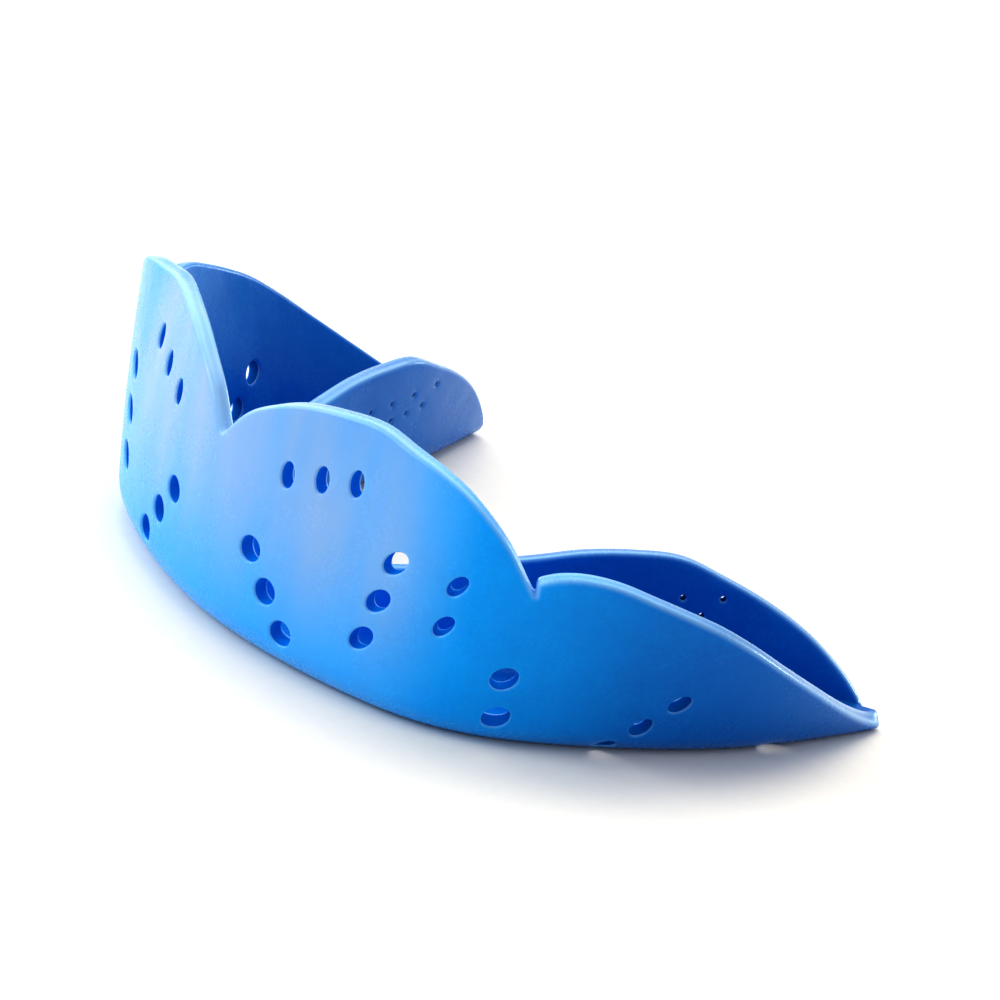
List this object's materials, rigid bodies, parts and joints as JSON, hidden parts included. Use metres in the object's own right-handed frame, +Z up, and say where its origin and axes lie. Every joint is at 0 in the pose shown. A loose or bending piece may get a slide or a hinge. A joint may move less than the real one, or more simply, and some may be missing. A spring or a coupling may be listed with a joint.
{
  "type": "mouthguard",
  "caption": "U-shaped sports mouthguard moulded from one thin perforated thermoplastic sheet, with a tall notched lip-side wall, a flat floor and a low tongue-side wall.",
  "frame": {"origin": "under the middle of the guard's box, on the plane it rests on", "axes": "+Z up from the resting face into the open trough, -Y towards the front teeth, +X towards the wearer's left"},
  "size_m": [0.0768, 0.0462, 0.0234],
  "materials": {
    "blue_sheet": "satin gloss, slightly translucent"
  },
  "bodies": {
    "root": {"guard_shell": "blue_sheet"}
  },
  "joints": []
}
